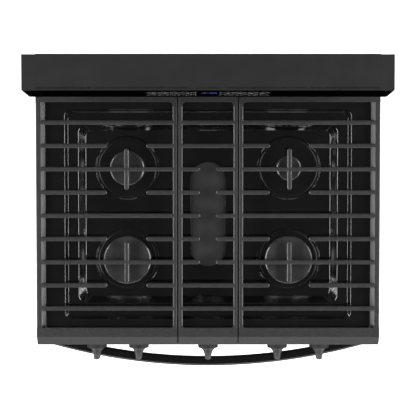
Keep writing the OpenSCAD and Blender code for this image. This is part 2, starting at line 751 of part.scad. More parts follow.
module console_end_caps() color([0.24, 0.24, 0.245]) both_sides()
  difference() {
    extrude_x(end_cap_x, half_w) console_outline(y_back - 1, 0);
    extrude_x(end_cap_x - 1, half_w - 3) console_outline(y_back - 1, 3);
    block([0, riser_y - 50, 0], [far, riser_y + 0.2, riser_low]);
  }

// ---------- door ----------
module hinge_cuts() both_sides()
  block([hinge_x - 4.5, hinge_y - 9, hinge_z - 30], [hinge_x + 4.5, door_inner_y + 5, hinge_z + 9]);

module handle_screw_cuts() both_sides() for (x = [322, 345])
  bar_y(x, handle_z, door_front - 2, door_tray_y + 2, 2.6);

module door_panel() color([0.07, 0.07, 0.075]) difference() {
  block([-door_half_w, door_front, door_bottom], [door_half_w, door_tray_y, door_top]);
  block([-door_half_w + sheet, door_front + glass_t + sheet, door_bottom + sheet],
        [door_half_w - sheet, door_tray_y + 5, door_top - sheet]);
  block([-door_half_w + 5, door_front - 5, door_bottom + 5], [door_half_w - 5, door_front + glass_t, door_top - 5]);
  block([-window_half_w - 10, door_front - 5, window_low - 10], [window_half_w + 10, door_tray_y + 5, window_high + 10]);
  hinge_cuts();
  handle_screw_cuts();
}

module door_glass() color([0.01, 0.01, 0.012]) difference() {
  block([-door_half_w + 5.2, door_front, door_bottom + 5.2],
        [door_half_w - 5.2, door_front + glass_t - 0.1, door_top - 5.2]);
  handle_screw_cuts();
}

module door_liner() color([0.10, 0.11, 0.13]) difference() {
  union() {
    block([-door_half_w + sheet + gap, door_tray_y - 3, door_bottom + 11],
          [door_half_w - sheet - gap, door_tray_y - 3 + sheet, door_top - sheet - gap]);
    block([-350, door_tray_y - 3, door_bottom + 11], [350, door_inner_y, door_top - 8]);
  }
  block([-350 + sheet, door_tray_y - 10, door_bottom + 11 + sheet], [350 - sheet, door_inner_y - sheet, door_top - 8 - sheet]);
  block([-window_half_w, door_tray_y - 10, window_low], [window_half_w, door_inner_y + 5, window_high]);
  hinge_cuts();
}

module inner_glass() color([0.05, 0.05, 0.055, 0.6])
  block([-window_half_w - 12, door_inner_y - sheet - glass_t - gap, window_low - 12],
        [window_half_w + 12, door_inner_y - sheet - gap, window_high + 12]);

module handle_band(inner, outer) translate([0, y_handle + handle_bow_r, 0]) difference() {
  circle(outer, $fn = 360);
  circle(inner, $fn = 360);
}

module door_handle() color([0.30, 0.30, 0.31]) difference() {
  intersection() {
    translate([0, 0, handle_z - handle_high / 2]) linear_extrude(handle_high)
      handle_band(handle_bow_r - handle_deep, handle_bow_r);
    block([-handle_half_w, y_handle - 5, handle_z - 50], [handle_half_w, door_front - 0.1, handle_z + 50]);
  }
  both_sides() for (x = [322, 345]) bar_y(x, handle_z, door_front - 3.5, door_front + 5, 2.5);
}

module handle_screws() color([0.7, 0.7, 0.72]) both_sides() for (x = [322, 345]) {
  bar_y(x, handle_z, door_front - 3.5, door_front + glass_t + sheet, 2.5);
  bar_y(x, handle_z, door_front + glass_t + sheet, door_front + glass_t + sheet + 3, 4.5);
}

module hinge_channels() color([0.66, 0.67, 0.68]) both_sides() {
  for (s = [-1, 1]) difference() {
    translate([hinge_x + s * 5.6 - 1, hinge_y - 8, hinge_z - 5.2]) cube([2, 15, 115]);
    translate([hinge_x - 20, hinge_y, hinge_z]) rotate([0, 90, 0]) cylinder(h = 40, r = hinge_pin_r - 0.02);
  }
  translate([hinge_x - 6.6, hinge_y, hinge_z]) rotate([0, 90, 0]) cylinder(h = 13.2, r = hinge_pin_r);
}

// ---------- drawer ----------
drawer_wall = 1;
module drawer_face(t) polygon([[-door_half_w + t, drawer_bottom + t], [door_half_w - t, drawer_bottom + t],
  [door_half_w - t, drawer_top - t], [150 + t, drawer_top - t], [138 + t, drawer_top - 12 - t],
  [-138 - t, drawer_top - 12 - t], [-150 - t, drawer_top - t], [-door_half_w + t, drawer_top - t]]);

module drawer_front() color([0.09, 0.09, 0.095]) difference() {
  extrude_y(door_front, door_front + 12) drawer_face(0);
  extrude_y(door_front + sheet, door_front + 13) drawer_face(sheet);
}

drawer_half_w = 329;
drawer_floor = 88;
drawer_rim = 196;
weld_gap = 0.05;                // between sheets that are spot welded together

// a floor sheet, two sides, a front and a back
module drawer_box() color([0.55, 0.55, 0.57]) {
  front = door_front + 12;
  wall_low = drawer_floor + drawer_wall + weld_gap;
  inside = drawer_half_w - drawer_wall - weld_gap;
  block([-drawer_half_w, front, drawer_floor], [drawer_half_w, drawer_back, drawer_floor + drawer_wall]);
  both_sides() block([drawer_half_w - drawer_wall, front, wall_low], [drawer_half_w, drawer_back, drawer_rim]);
  for (y = [front, drawer_back - drawer_wall])
    block([-inside, y, wall_low], [inside, y + drawer_wall, drawer_rim]);
}

module drawer_runners() color([0.6, 0.6, 0.62]) both_sides()
  block([drawer_half_w, frame_y - 20, 121], [349.5, drawer_back - 10, 141]);

// ---------- racks ----------
module rack(level) color([0.78, 0.78, 0.80]) {
  z = rack_low_z + level * rack_pitch;
  x = rack_half_w - rack_rod_r;
  run([[-x, rack_low_y, z], [x, rack_low_y, z], [x, rack_back_y, z], [-x, rack_back_y, z], [-x, rack_low_y, z]], rack_rod_r);
  translate([-x, rack_low_y, z]) sphere(rack_rod_r);
  bar([-x, -5, z], [x, -5, z], rack_rod_r * 0.8);
  for (wx = [-264 : 33 : 264]) bar_y(wx, z + 1, rack_low_y, rack_back_y, rack_wire_r);
}

module rack_lower() rack(0);
module rack_upper() rack(2);

side_panel_left();
side_panel_right();
rear_panel();
base_frame();
front_frame();
oven_liner();
oven_insulation();
rack_guides();
oven_floor();
bake_burner();
broil_burner();
oven_lamp();
door_gasket();
hinge_arms();
drawer_rails();
levelling_legs();
cabinet_screws();
gas_regulator();
cord_inlet();
cooktop_pan();
manifold_panel();
gas_manifold();
gas_valves();
knob_bezels();
burner_tubes();
burner_heads();
burner_igniters();
console_housing();
console_end_caps();
control_glass();
door_panel();
door_glass();
door_liner();
inner_glass();
door_handle();
handle_screws();
hinge_channels();
drawer_front();
drawer_box();
drawer_runners();
grate_left();
grate_centre();
grate_right();
cap_left_front();
cap_left_rear();
cap_centre();
cap_right_rear();
cap_right_front();
knob_left_front();
knob_left_rear();
knob_centre();
knob_right_rear();
knob_right_front();
stem_left_front();
stem_left_rear();
stem_centre();
stem_right_rear();
stem_right_front();
rack_lower();
rack_upper();
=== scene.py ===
"""Looks of the freestanding gas range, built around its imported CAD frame."""
import json
import math

import bmesh
import bpy
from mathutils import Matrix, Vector
from mathutils.geometry import delaunay_2d_cdt


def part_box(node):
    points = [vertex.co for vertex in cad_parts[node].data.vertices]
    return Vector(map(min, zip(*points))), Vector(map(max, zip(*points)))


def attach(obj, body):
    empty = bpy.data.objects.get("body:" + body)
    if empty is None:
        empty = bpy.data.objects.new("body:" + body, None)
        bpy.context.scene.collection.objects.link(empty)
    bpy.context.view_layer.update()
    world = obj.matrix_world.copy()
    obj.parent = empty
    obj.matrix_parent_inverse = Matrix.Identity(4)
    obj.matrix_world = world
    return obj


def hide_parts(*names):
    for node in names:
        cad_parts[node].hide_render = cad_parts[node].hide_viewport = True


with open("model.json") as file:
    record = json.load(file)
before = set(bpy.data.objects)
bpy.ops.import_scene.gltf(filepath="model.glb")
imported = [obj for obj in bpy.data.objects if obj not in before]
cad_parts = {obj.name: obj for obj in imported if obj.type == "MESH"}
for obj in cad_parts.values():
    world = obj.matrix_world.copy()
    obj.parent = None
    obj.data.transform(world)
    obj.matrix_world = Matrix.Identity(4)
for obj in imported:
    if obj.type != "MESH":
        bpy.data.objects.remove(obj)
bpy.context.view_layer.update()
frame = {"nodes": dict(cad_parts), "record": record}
NODES = frame["nodes"]
MM = 0.001
scene = bpy.context.scene


# ---------------------------------------------------------------- measures from the frame
def low(node):
    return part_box(node)[0]


def high(node):
    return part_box(node)[1]


DECK_Z = high("cooktop_pan").z


# ---------------------------------------------------------------- camera, light, stage
LENS, SENSOR = 135, 36
CAMERA_PLACE = Vector((0, 216 * MM, 4377 * MM))
CAMERA_TILT = math.radians(3.18)      # towards the front, off straight down


def add_camera():
    data = bpy.data.cameras.new("camera")
    data.lens, data.sensor_width = LENS, SENSOR
    data.clip_end = 50
    camera = bpy.data.objects.new("camera", data)
    camera.location = CAMERA_PLACE
    camera.rotation_euler = (-CAMERA_TILT, 0, 0)
    scene.collection.objects.link(camera)
    scene.camera = camera


def area_light(name, place, aim, size, power, colour=(1, 1, 1)):
    data = bpy.data.lights.new(name, "AREA")
    data.shape = "RECTANGLE"
    data.size, data.size_y = size
    data.energy = power
    data.color = colour
    light = bpy.data.objects.new(name, data)
    light.location = place
    light.rotation_euler = (Vector(aim) - Vector(place)).to_track_quat("-Z", "Y").to_euler()
    scene.collection.objects.link(light)
    return light


def add_lights():
    for side in (-1, 1):
        area_light("side_box", (side * 2.4, 0.0, 2.75), (0, 0, DECK_Z), (3.2, 0.7), 74)
        area_light("side_strip", (side * 2.7, 0.0, 1.10), (0, 0, DECK_Z), (3.2, 0.4), 37)
    area_light("front_box", (0, -2.8, 1.9), (0, 0, DECK_Z), (2.6, 1.0), 27)
    area_light("front_strip", (0, -3.0, 1.08), (0, 0, DECK_Z), (2.6, 0.35), 2.6)
    rear = area_light("rear_box", (0, 2.8, 2.4), (0, 0, DECK_Z), (2.4, 1.0), 8)
    rear.visible_glossy = False


def add_world():
    world = bpy.data.worlds.new("studio")
    scene.world = world
    world.use_nodes = True
    nodes, links = world.node_tree.nodes, world.node_tree.links
    nodes.clear()
    out = nodes.new("ShaderNodeOutputWorld")
    seen = nodes.new("ShaderNodeBackground")
    seen.inputs["Color"].default_value = (1, 1, 1, 1)
    lit = nodes.new("ShaderNodeBackground")
    lit.inputs["Color"].default_value = (1, 1, 1, 1)
    lit.inputs["Strength"].default_value = 0.055
    path = nodes.new("ShaderNodeLightPath")
    mix = nodes.new("ShaderNodeMixShader")
    links.new(path.outputs["Is Camera Ray"], mix.inputs["Fac"])
    links.new(lit.outputs["Background"], mix.inputs[1])
    links.new(seen.outputs["Background"], mix.inputs[2])
    links.new(mix.outputs["Shader"], out.inputs["Surface"])


def add_floor():
    mesh = bpy.data.meshes.new("floor")
    size = 14
    corners = [(-size, -size, 0), (size, -size, 0), (size, size, 0), (-size, size, 0)]
    mesh.from_pydata(corners, [], [(0, 1, 2, 3)])
    floor = bpy.data.objects.new("floor", mesh)
    scene.collection.objects.link(floor)
    mat = bpy.data.materials.new("pale_floor")
    mat.use_nodes = True
    shader = mat.node_tree.nodes["Principled BSDF"]
    shader.inputs["Base Color"].default_value = (0.9, 0.9, 0.9, 1)
    shader.inputs["Roughness"].default_value = 0.7
    shader.inputs["Emission Color"].default_value = (1, 1, 1, 1)
    shader.inputs["Emission Strength"].default_value = 0.95
    mesh.materials.append(mat)
    floor.visible_diffuse = False
    floor.visible_glossy = False


scene.view_settings.view_transform = "Standard"
add_camera()
add_world()
add_floor()
add_lights()


# ---------------------------------------------------------------- materials
def surface(name, colour, rough, metal=0.0, mottle=0.12, mottle_scale=30, grain=0.0, grain_scale=900,
            rough_swing=0.06, coat=0.0, coat_rough=0.1, specular=0.5, speck=0.0, speck_scale=700,
            stretch=(1, 1, 1), clear=0.0):
    """A procedural finish: broad mottling of colour and gloss, a fine grain bump and optional specks."""
    mat = bpy.data.materials.new(name)
    mat.use_nodes = True
    nodes, links = mat.node_tree.nodes, mat.node_tree.links
    shader = nodes["Principled BSDF"]
    shader.inputs["Metallic"].default_value = metal
    shader.inputs["Specular IOR Level"].default_value = specular
    shader.inputs["Coat Weight"].default_value = coat
    shader.inputs["Coat Roughness"].default_value = coat_rough
    shader.inputs["Transmission Weight"].default_value = clear
    place = nodes.new("ShaderNodeTexCoord")
    mapping = nodes.new("ShaderNodeMapping")
    mapping.inputs["Scale"].default_value = stretch
    links.new(place.outputs["Object"], mapping.inputs["Vector"])

    def noise(scale, detail):
        tex = nodes.new("ShaderNodeTexNoise")
        tex.inputs["Scale"].default_value = scale
        tex.inputs["Detail"].default_value = detail
        links.new(mapping.outputs["Vector"], tex.inputs["Vector"])
        return tex

    def ramp(source, low_value, high_value, low_at=0.35, high_at=0.65):
        remap = nodes.new("ShaderNodeMapRange")
        settings = {"From Min": low_at, "From Max": high_at, "To Min": low_value, "To Max": high_value}
        for key, value in settings.items():
            remap.inputs[key].default_value = value
        links.new(source, remap.inputs["Value"])
        return remap.outputs["Result"]

    broad = noise(mottle_scale, 4)
    mix = nodes.new("ShaderNodeMix")
    mix.data_type = "RGBA"
    dark = [c * (1 - mottle) for c in colour] + [1]
    light = [min(1, c * (1 + mottle)) for c in colour] + [1]
    mix.inputs["A"].default_value, mix.inputs["B"].default_value = dark, light
    links.new(ramp(broad.outputs["Fac"], 0, 1), mix.inputs["Factor"])
    tone = mix.outputs["Result"]
    if speck:
        dots = nodes.new("ShaderNodeTexVoronoi")
        dots.inputs["Scale"].default_value = speck_scale
        links.new(mapping.outputs["Vector"], dots.inputs["Vector"])
        over = nodes.new("ShaderNodeMix")
        over.data_type = "RGBA"
        over.inputs["B"].default_value = [min(1, c * 3 + 0.08) for c in colour] + [1]
        links.new(ramp(dots.outputs["Distance"], speck, 0, 0.05, 0.14), over.inputs["Factor"])
        links.new(tone, over.inputs["A"])
        tone = over.outputs["Result"]
    links.new(tone, shader.inputs["Base Color"])
    links.new(ramp(broad.outputs["Fac"], max(0, rough - rough_swing), min(1, rough + rough_swing)),
              shader.inputs["Roughness"])
    if grain:
        fine = noise(grain_scale, 3)
        bump = nodes.new("ShaderNodeBump")
        bump.inputs["Strength"].default_value = grain
        bump.inputs["Distance"].default_value = 0.0004
        links.new(fine.outputs["Fac"], bump.inputs["Height"])
        links.new(bump.outputs["Normal"], shader.inputs["Normal"])
    return mat


MATS = {
    "side_panel_paint": surface("side_panel_paint", (0.020, 0.020, 0.021), 0.36, mottle=0.04,
                                rough_swing=0.02, grain=0.10, grain_scale=1400, coat=0.25),
    "galvanised_steel": surface("galvanised_steel", (0.50, 0.51, 0.52), 0.42, metal=1, mottle=0.25,
                                mottle_scale=60, rough_swing=0.14),
    "frame_enamel": surface("frame_enamel", (0.015, 0.015, 0.016), 0.22, coat=0.4),
    "oven_enamel": surface("oven_enamel", (0.018, 0.020, 0.030), 0.20, speck=0.55, coat=0.3),
    "glass_wool": surface("glass_wool", (0.78, 0.66, 0.30), 0.95, mottle=0.35, mottle_scale=160, grain=0.8),
    "rack_chrome": surface("rack_chrome", (0.70, 0.70, 0.72), 0.14, metal=1, mottle=0.08),
    "burner_steel": surface("burner_steel", (0.34, 0.30, 0.26), 0.42, metal=1, mottle=0.3, mottle_scale=24),
    "lamp_glass": surface("lamp_glass", (0.93, 0.91, 0.86), 0.08, mottle=0.03, clear=0.6),
    "gasket_braid": surface("gasket_braid", (0.10, 0.10, 0.095), 0.9, mottle=0.5, mottle_scale=500,
                            grain=0.7),
    "zinc_steel": surface("zinc_steel", (0.58, 0.58, 0.57), 0.33, metal=1, mottle=0.14, mottle_scale=80),
    "leg_plastic": surface("leg_plastic", (0.02, 0.02, 0.02), 0.6, grain=0.3),
    "regulator_metal": surface("regulator_metal", (0.52, 0.52, 0.53), 0.5, metal=1, grain=0.4),
    "inlet_plastic": surface("inlet_plastic", (0.012, 0.012, 0.012), 0.55, grain=0.2),
    "cooktop_enamel": surface("cooktop_enamel", (0.005, 0.005, 0.0054), 0.12, mottle=0.25, mottle_scale=14,
                              rough_swing=0.02, speck=0.08, speck_scale=900, coat=1.0, coat_rough=0.04,
                              specular=0.9),
    "control_paint": surface("control_paint", (0.018, 0.018, 0.019), 0.30, mottle=0.04, rough_swing=0.02,
                             grain=0.08),
    "pipe_steel": surface("pipe_steel", (0.42, 0.42, 0.42), 0.40, metal=1, mottle=0.2),
    "valve_brass": surface("valve_brass", (0.66, 0.47, 0.18), 0.30, metal=1, mottle=0.12),
    "bezel_plastic": surface("bezel_plastic", (0.045, 0.045, 0.047), 0.55, specular=0.25),
    "tube_aluminium": surface("tube_aluminium", (0.60, 0.61, 0.63), 0.35, metal=1),
    "burner_aluminium": surface("burner_aluminium", (0.42, 0.42, 0.42), 0.45, metal=1, grain=0.3),
    "igniter_ceramic": surface("igniter_ceramic", (0.85, 0.83, 0.77), 0.5, mottle=0.05),
    "console_paint": surface("console_paint", (0.025, 0.025, 0.026), 0.42, mottle=0.03, rough_swing=0.02,
                             grain=0.10, grain_scale=1400),
    "console_end_paint": surface("console_end_paint", (0.025, 0.025, 0.026), 0.42, mottle=0.03,
                                 rough_swing=0.02, grain=0.10, grain_scale=1400),
    "black_glass": surface("black_glass", (0.0015, 0.0015, 0.002), 0.05, mottle=0.1, rough_swing=0.01),
    "console_glass": surface("console_glass", (0.0012, 0.0012, 0.0015), 0.10, mottle=0.1, rough_swing=0.02,
                             specular=0.0),
    # a copy of the console paint made twice as light, for the fold: a painted highlight along the console's
    # front lip
    "fold_painted_highlight": surface("fold_painted_highlight", (0.050, 0.050, 0.051), 0.36, mottle=0.03, coat=0.8, coat_rough=0.18),
    "door_paint": surface("door_paint", (0.014, 0.014, 0.015), 0.20, mottle=0.05, rough_swing=0.02, coat=0.5),
    "oven_window_glass": surface("oven_window_glass", (0.02, 0.02, 0.022), 0.04, clear=0.5, rough_swing=0.01),
    "handle_metal": surface("handle_metal", (0.004, 0.004, 0.0044), 0.28, coat=0.9, coat_rough=0.12,
                            stretch=(4, 60, 60)),
    "drawer_steel": surface("drawer_steel", (0.40, 0.40, 0.41), 0.38, metal=1, mottle=0.2, mottle_scale=50),
    "grate_iron": surface("grate_iron", (0.042, 0.042, 0.043), 0.38, mottle=0.14, mottle_scale=220,
                          grain=0.22, grain_scale=1500, coat=0.5, coat_rough=0.22),
    "cap_enamel": surface("cap_enamel", (0.039, 0.039, 0.040), 0.42, mottle=0.06, grain=0.03,
                          grain_scale=1600, coat=0.9, coat_rough=0.07),
    # a darker copy of the cap enamel for the oval centre cap: painted shade, since the real cap has the same
    # finish as the round ones
    "oval_cap_painted_shade": surface("oval_cap_painted_shade", (0.028, 0.028, 0.029), 0.46, mottle=0.06, grain=0.03,
                               grain_scale=1600, coat=0.9, coat_rough=0.07),
    "knob_plastic": surface("knob_plastic", (0.115, 0.115, 0.118), 0.42, grain=0.08, specular=0.35),
    "print_grey": surface("print_grey", (0.45, 0.45, 0.455), 0.5, mottle=0.1),
    "clock_blue": surface("clock_blue", (0.05, 0.10, 0.55), 0.4, mottle=0.2, mottle_scale=300),
}
clock_shader = MATS["clock_blue"].node_tree.nodes["Principled BSDF"]
clock_shader.inputs["Emission Color"].default_value = (0.12, 0.22, 1.0, 1)
clock_shader.inputs["Emission Strength"].default_value = 1.0
SLOT_OF = {row["node"]: row["material_slot"] for row in frame["record"]["subparts"]}


# ---------------------------------------------------------------- mesh helpers
def add_piece(name, bm, slot, body, replaces=(), sharp=35):
    """Links a bmesh as a piece that rides on a body and takes a slot's finish."""
    bmesh.ops.recalc_face_normals(bm, faces=bm.faces)
    for edge in bm.edges:
        if len(edge.link_faces) == 2 and edge.calc_face_angle(0) > math.radians(sharp):
            edge.smooth = False
    for face in bm.faces:
        face.smooth = True
    mesh = bpy.data.meshes.new(name)
    bm.to_mesh(mesh)
    bm.free()
    obj = bpy.data.objects.new(name, mesh)
    scene.collection.objects.link(obj)
    mesh.materials.append(MATS[slot])
    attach(obj, body)
    if replaces:
        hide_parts(*replaces)
    return obj


def loft(bm, loops, closed=False, low_cap=False, high_cap=False):
    """Skins loops of points that all have the same count; returns the rings of vertices."""
    rings = [[bm.verts.new(p) for p in loop] for loop in loops]
    pairs = list(zip(rings, rings[1:])) + ([(rings[-1], rings[0])] if closed else [])
    for a, b in pairs:
        for i in range(len(a)):
            j = (i + 1) % len(a)
            bm.faces.new((a[i], a[j], b[j], b[i]))
    if low_cap:
        bm.faces.new(list(reversed(rings[0])))
    if high_cap:
        bm.faces.new(rings[-1])
    return rings


def arc(cx, cy, r, a0, a1, n):
    """Points on an arc, angles in degrees."""
    angles = [math.radians(a0 + (a1 - a0) * i / n) for i in range(n + 1)]
    return [(cx + r * math.cos(a), cy + r * math.sin(a)) for a in angles]


def round_rect(x0, x1, y0, y1, r, n=10):
    """Outline of a rounded rectangle, anticlockwise."""
    return (arc(x1 - r, y0 + r, r, -90, 0, n) + arc(x1 - r, y1 - r, r, 0, 90, n)
            + arc(x0 + r, y1 - r, r, 90, 180, n) + arc(x0 + r, y0 + r, r, 180, 270, n))


def stadium(cx, cy, r, half, n=48):
    """Outline of a stadium that is long in Y; a circle when half is 0."""
    return arc(cx, cy + half, r, 0, 180, n) + arc(cx, cy - half, r, 180, 360, n)


def point(x, y, z):
    """A point given in millimetres."""
    return Vector((x * MM, y * MM, z * MM))


def at_height(outline, z):
    """An outline in millimetres as points at one height."""
    return [point(x, y, z) for x, y in outline]


def bend(a, corner, b, n=6):
    """A smooth turn from a to b that a sharp corner would make."""
    out = []
    for i in range(n + 1):
        t = i / n
        out.append(tuple((1 - t) ** 2 * p + 2 * t * (1 - t) * q + t * t * s for p, q, s in zip(a, corner, b)))
    return out


def dress(obj, mat):
    """Makes a finish the object's only one."""
    obj.data.materials.clear()
    obj.data.materials.append(mat)


def soften(obj, width, segments=3, angle=35):
    """Rounds a CAD node's sharp edges with modifiers; its own mesh stays."""
    weld = obj.modifiers.new("weld", "WELD")
    weld.merge_threshold = 0.00001
    flat = obj.modifiers.new("flat", "DECIMATE")
    flat.decimate_type = "DISSOLVE"
    flat.angle_limit = math.radians(0.4)
    bevel = obj.modifiers.new("bevel", "BEVEL")
    bevel.width = width
    bevel.segments = segments
    bevel.limit_method = "ANGLE"
    bevel.angle_limit = math.radians(angle)
    bevel.use_clamp_overlap = True
    normals = obj.modifiers.new("flat_faces", "WEIGHTED_NORMAL")
    normals.weight = 80


def dress_cad_nodes():
    """Gives every CAD node its slot's finish and smooth shading."""
    for name, obj in NODES.items():
        dress(obj, MATS[SLOT_OF[name]])
        obj.data.polygons.foreach_set("use_smooth", [True] * len(obj.data.polygons))


# ---------------------------------------------------------------- cooktop
def mm_box(node):
    """A node's low and high corners in millimetres."""
    a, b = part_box(node)
    return a / MM, b / MM


def outline_between(top, foot, u):
    """Rounded rectangle between two (half width, front, rear, corner) outlines."""
    half, front, rear, corner = (a + (b - a) * u for a, b in zip(top, foot))
    return round_rect(-half, half, front, rear, corner)


def step_loops(top, foot, z_top, z_foot, ease):
    """Loops down a drawn step whose two edges are rounded."""
    path = bend((-ease, 0), (0, 0), (ease * 0.8, ease * 0.8)) + bend(
        (1 - ease * 0.8, 1 - ease * 0.8), (1, 1), (1 + ease, 1))
    return [at_height(outline_between(top, foot, u), z_top + (z_foot - z_top) * v) for u, v in path]


ROUND_BURNERS = [(-180, -93), (-180, 112), (180, 112), (180, -93)]
OVAL_BURNER = (0, 10)
BEAD_R, BEAD_HALF, BEAD_HIGH = 66.9, 4.4, 2.4     # the raised ring round each round burner
BEAD_FLANK = 2.7
BOSS_HOLE = 16.4                                  # the hole under each burner head
SHELF_DROP, WELL_DROP = 10, 28
SHEET = 1.4


def bead_profile():
    """Radius and height across the raised ring round a burner: two short steep sides and a flat top."""
    flank = [(k / 8, 0.5 - 0.5 * math.cos(math.pi * k / 8)) for k in range(9)]
    outside = [(BEAD_R + BEAD_HALF - BEAD_FLANK * t, BEAD_HIGH * h) for t, h in flank]
    inside = [(BEAD_R - BEAD_HALF + BEAD_FLANK * t, BEAD_HIGH * h) for t, h in reversed(flank)]
    return outside + inside


def circle(cx, cy, r, z, n):
    """Points of a level circle."""
    angles = [2 * math.pi * k / n for k in range(n)]
    return [point(cx + r * math.cos(a), cy + r * math.sin(a), z) for a in angles]


def pan_loops():
    """Loops down the pan: apron, rounded edge, the step to the shelf and the step to the well."""
    (_, front, apron_low), (half, rear, deck) = mm_box("cooktop_pan")
    shelf, well = deck - SHELF_DROP, deck - WELL_DROP
    edge_r = 6
    apron_top = deck - edge_r
    skirt_low = max(apron_low, deck - 25)
    loops = [at_height(round_rect(-half, half, front, rear, edge_r), z) for z in (skirt_low, apron_top)]
    for x, z in arc(0, apron_top, edge_r, 0, 90, 6)[1:]:
        inset = edge_r - x
        outline = round_rect(-half + inset, half - inset, front + inset, rear - inset,
                             max(0.6, edge_r - inset))
        loops.append(at_height(outline, z))
    # outlines as (half width, front, rear, corner radius)
    step_top, step_foot = (318, -225.6, 242, 15), (311.5, -217.7, 236.7, 15)
    well_top, well_foot = (288.5, -190.8, 209, 18), (273, -174.4, 195.7, 16)
    loops += step_loops(step_top, step_foot, deck, shelf, 0.20)
    loops += step_loops(well_top, well_foot, shelf, well, 0.11)
    return loops


def fill_floor(bm, outer_ring, inner_rings):
    """Fills the well's floor between its edge, the raised rings and the burner holes."""
    points = []
    verts = []
    edges = []
    for ring in [outer_ring] + inner_rings:
        start = len(points)
        points += [v.co.to_2d() for v in ring]
        verts += ring
        edges += [(start + i, start + (i + 1) % len(ring)) for i in range(len(ring))]
    out_points, _, faces, origin, _, _ = delaunay_2d_cdt(points, edges, [], 0, 1e-9)
    outer = points[:len(outer_ring)]
    for face in faces:
        centre = sum((out_points[i] for i in face), Vector((0, 0))) / len(face)
        x, y = centre / MM
        in_bead = any(BEAD_R - BEAD_HALF < math.hypot(x - cx, y - cy) < BEAD_R + BEAD_HALF
                      for cx, cy in ROUND_BURNERS)
        in_hole = any(math.hypot(x - cx, y - cy) < BOSS_HOLE for cx, cy in ROUND_BURNERS + [OVAL_BURNER])
        if not in_bead and not in_hole and inside_polygon(centre, outer):
            bm.faces.new([verts[origin[i][0]] for i in face])


def make_cooktop():
    """The pressed pan: one enamelled sheet with a raised ring round each round burner."""
    well = mm_box("cooktop_pan")[1].z - WELL_DROP
    bm = bmesh.new()
    floor_ring = loft(bm, pan_loops())[-1]
    rings = []
    for cx, cy in ROUND_BURNERS:
        bead = loft(bm, [circle(cx, cy, r, well + h, 96) for r, h in bead_profile()])
        rings += [bead[0], bead[-1]]
    for cx, cy in ROUND_BURNERS + [OVAL_BURNER]:
        rings.append([bm.verts.new(p) for p in circle(cx, cy, BOSS_HOLE, well, 32)])
    fill_floor(bm, list(floor_ring), rings)
    pan = add_piece("cooktop_pan_pressed", bm, "cooktop_enamel", "cabinet", ["cooktop_pan"], sharp=60)
    thick = pan.modifiers.new("sheet", "SOLIDIFY")
    thick.thickness = SHEET * MM
    thick.offset = -1
    weight = pan.modifiers.new("flat_faces", "WEIGHTED_NORMAL")
    weight.keep_sharp = True


def inside_polygon(p, polygon):
    """Whether a point lies inside a polygon, by counting the edges to its right."""
    inside = False
    for a, b in zip(polygon, polygon[1:] + polygon[:1]):
        if (a.y > p.y) != (b.y > p.y) and p.x < (b.x - a.x) * (p.y - a.y) / (b.y - a.y) + a.x:
            inside = not inside
    return inside


def make_cap(node):
    """An enamelled burner cap: chamfered rim, slightly sunk top, locating skirt below."""
    (x0, y0, z0), (x1, y1, z1) = mm_box(node)
    r = (x1 - x0) / 2
    half = (y1 - y0) / 2 - r
    cx, cy = (x0 + x1) / 2, (y0 + y1) / 2
    low_z = z1 - 6.8
    low_r = 1.2
    skirt_out, skirt_in = 11, 13.5
    # each point is an inset from the cap's edge and a height
    under = [(r * 0.93, z0 + 4), (skirt_in, z0 + 4)]
    skirt = [(skirt_in, z0), (skirt_out, z0), (skirt_out, low_z)]
    rim = arc(low_r, low_z + low_r, low_r, 270, 180, 4)
    chamfer = [(0, -2.6), (0.05, -1.9), (0.28, -1.38), (0.5, -1.2), (2.3, -0.32), (2.6, -0.17), (3.0, -0.05)]
    top = [(3.5, 0), (5.4, -0.03), (7.0, -0.2), (8.6, -0.3), (r * 0.6, -0.3), (r * 0.93, -0.3)]
    profile = under + skirt + rim + [(inset, z1 + drop) for inset, drop in chamfer + top]
    bm = bmesh.new()
    loft(bm, [at_height(stadium(cx, cy, r - inset, half), z) for inset, z in profile],
         low_cap=True, high_cap=True)
    cap = add_piece(node + "_enamelled", bm, "cap_enamel", node + "_body", [node], sharp=50)
    # the oval centre cap takes the darker copy of the cap enamel, which is painted shade
    if half > 1:
        dress(cap, MATS["oval_cap_painted_shade"])


# ---------------------------------------------------------------- knobs and handle
def super_loop(half_x, half_z, power, n=64):
    """A closed superellipse in X and Z: power 2 is an ellipse, higher is squarer."""
    out = []
    for k in range(n):
        a = 2 * math.pi * k / n
        c, s = math.cos(a), math.sin(a)
        x = math.copysign(abs(c) ** (2 / power), c) * half_x
        z = math.copysign(abs(s) ** (2 / power), s) * half_z
        out.append((x, z))
    return out


GRIP_LONG = 26
# down the knob from its skirt: half width, half height, squareness, distance from the hub's front
KNOB_SECTIONS = [
    (16.6, 16.6, 2, 7.9), (16.8, 16.8, 2, 7.2), (16.8, 16.8, 2, 0.4), (16.4, 16.6, 2, -0.4),
    (15.4, 16.4, 2.0, -1.6), (13.9, 16.6, 2.1, -3.3), (12.4, 17.1, 2.2, -5.0), (11.1, 17.8, 2.4, -6.9),
    (9.9, 18.6, 2.8, -9.0), (8.9, 19.3, 3.2, -11.6), (8.0, 19.9, 3.6, -14.8), (7.4, 20.0, 4.0, -18.2),
    (7.0, 19.8, 4.0, -21.4), (6.8, 19.2, 4.0, -23.8), (6.2, 18.2, 3.8, -25.1), (5.1, 16.6, 3.4, -25.8),
    (3.4, 14.0, 3.0, -26.0)]


def make_knob(node):
    """A turned hub whose waist sweeps up into an upright grip."""
    a, b = mm_box(node)
    cx, cz = (a.x + b.x) / 2, (a.z + b.z) / 2
    tip = a.y
    hub_front = tip + GRIP_LONG
    bm = bmesh.new()
    loops = []
    for half_x, half_z, power, depth in KNOB_SECTIONS:
        outline = super_loop(half_x, half_z, power)
        loops.append([point(cx + x, hub_front + depth, cz + z) for x, z in outline])
    loft(bm, loops, low_cap=True, high_cap=True)
    add_piece(node + "_moulded", bm, "knob_plastic", node + "_body", [node], sharp=60)
    make_pointer(node, cx, tip, cz)


